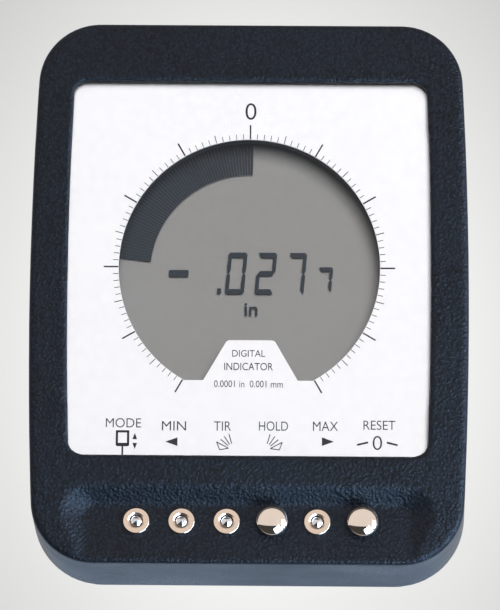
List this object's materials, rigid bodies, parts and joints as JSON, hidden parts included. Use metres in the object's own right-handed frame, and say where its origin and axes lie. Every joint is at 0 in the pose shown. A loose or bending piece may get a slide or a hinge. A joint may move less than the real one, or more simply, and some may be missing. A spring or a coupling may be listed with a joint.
{
  "type": "digital dial indicator",
  "caption": "Electronic dial indicator with a digital display, an arc of display bars, a row of press keys and a sprung spindle in a round stem at the back.",
  "frame": {"origin": "on the stem's axis, in the outer face of the back cover, where the stem leaves the case", "axes": "+Z out of the display, -Z along the stem and spindle, +Y towards the top of the display, +X to its right"},
  "size_m": [0.0644, 0.0796, 0.0617],
  "materials": {
    "case_paint": "fine wrinkle",
    "cover_plastic": "satin",
    "black_rubber": "matt",
    "zinc_screw": "zinc plated",
    "foil_plate": "brushed",
    "clear_lens": "polished",
    "white_plate": "satin",
    "frame_plastic": "moulded",
    "lcd_glass": "polished",
    "reflector_film": "satin",
    "silicone": "matt",
    "green_board": "solder mask",
    "black_epoxy": "moulded",
    "ribbon_film": "smooth",
    "nickel": "bright nickel",
    "switch_ivory": "moulded",
    "stem_steel": "ground",
    "spindle_steel": "hardened and polished",
    "bronze": "turned",
    "spring_wire": "drawn",
    "carrier_metal": "machined",
    "scale_glass": "chromed graduations",
    "cell_steel": "nickel plated",
    "gold_spring": "plated",
    "connector_plastic": "moulded"
  },
  "bodies": {
    "case": {"front_housing": "case_paint", "back_cover": "cover_plastic", "cover_gasket": "black_rubber", "cover_screws": "zinc_screw", "rating_plate": "foil_plate", "lens_gasket": "black_rubber", "lens": "clear_lens", "dial_plate": "white_plate", "lcd_frame": "frame_plastic", "lcd_front_glass": "lcd_glass", "lcd_rear_glass": "lcd_glass", "lcd_reflector": "reflector_film", "zebra_strips": "silicone", "main_board": "green_board", "board_chips": "black_epoxy", "board_screws": "zinc_screw", "key_board": "green_board", "key_board_screws": "zinc_screw", "key_ribbon": "ribbon_film", "key_switches": "black_epoxy", "key_collars": "nickel", "stem": "stem_steel", "stem_screws": "zinc_screw", "lower_bushing": "bronze", "upper_bushing": "bronze", "dust_wiper": "black_rubber", "guide_rod": "spindle_steel", "return_spring": "spring_wire", "reader_board": "green_board", "reader_chip": "black_epoxy", "battery": "cell_steel", "top_contact": "gold_spring", "side_contact": "gold_spring", "data_connector": "connector_plastic"},
    "mode": {"mode_key": "nickel", "mode_plunger": "switch_ivory"},
    "min": {"min_key": "nickel", "min_plunger": "switch_ivory"},
    "tir": {"tir_key": "nickel", "tir_plunger": "switch_ivory"},
    "hold": {"hold_key": "nickel", "hold_plunger": "switch_ivory", "hold_cap": "nickel"},
    "max": {"max_key": "nickel", "max_plunger": "switch_ivory"},
    "reset": {"reset_key": "nickel", "reset_plunger": "switch_ivory", "reset_cap": "nickel"},
    "plunger": {"spindle": "spindle_steel", "spindle_collar": "stem_steel", "contact_point": "spindle_steel", "scale_carrier": "carrier_metal", "carrier_screw": "zinc_screw", "glass_scale": "scale_glass"},
    "cell_cap": {"battery_cap": "cover_plastic", "battery_cap_seal": "black_rubber"},
    "port_plug": {"data_port_cover": "black_rubber"}
  },
  "joints": [
    {"name": "spindle_travel", "type": "slide", "parent": "case", "child": "plunger", "axis": [0, 0, 1], "range_m": [0, 0.00508], "stiffness_N_per_m": 60, "springref_m": -0.012, "deforming": ["return_spring"]},
    {"name": "mode_press", "type": "slide", "parent": "case", "child": "mode", "axis": [0, -0.1908, -0.9816], "range_m": [0, 0.0005], "stiffness_N_per_m": 600, "springref_m": -0.0008},
    {"name": "min_press", "type": "slide", "parent": "case", "child": "min", "axis": [0, -0.1908, -0.9816], "range_m": [0, 0.0005], "stiffness_N_per_m": 600, "springref_m": -0.0008},
    {"name": "tir_press", "type": "slide", "parent": "case", "child": "tir", "axis": [0, -0.1908, -0.9816], "range_m": [0, 0.0005], "stiffness_N_per_m": 600, "springref_m": -0.0008},
    {"name": "hold_press", "type": "slide", "parent": "case", "child": "hold", "axis": [0, -0.1908, -0.9816], "range_m": [0, 0.0005], "stiffness_N_per_m": 600, "springref_m": -0.0008},
    {"name": "max_press", "type": "slide", "parent": "case", "child": "max", "axis": [0, -0.1908, -0.9816], "range_m": [0, 0.0005], "stiffness_N_per_m": 600, "springref_m": -0.0008},
    {"name": "reset_press", "type": "slide", "parent": "case", "child": "reset", "axis": [0, -0.1908, -0.9816], "range_m": [0, 0.0005], "stiffness_N_per_m": 600, "springref_m": -0.0008},
    {"name": "battery_cap_turn", "type": "hinge", "parent": "case", "child": "cell_cap", "pos_m": [0, 0.023, 0], "axis": [0, 0, 1], "range_deg": [0, 60]},
    {"name": "port_plug_pull", "type": "slide", "parent": "case", "child": "port_plug", "axis": [0, 1, 0], "range_m": [0, 0.008]}
  ]
}
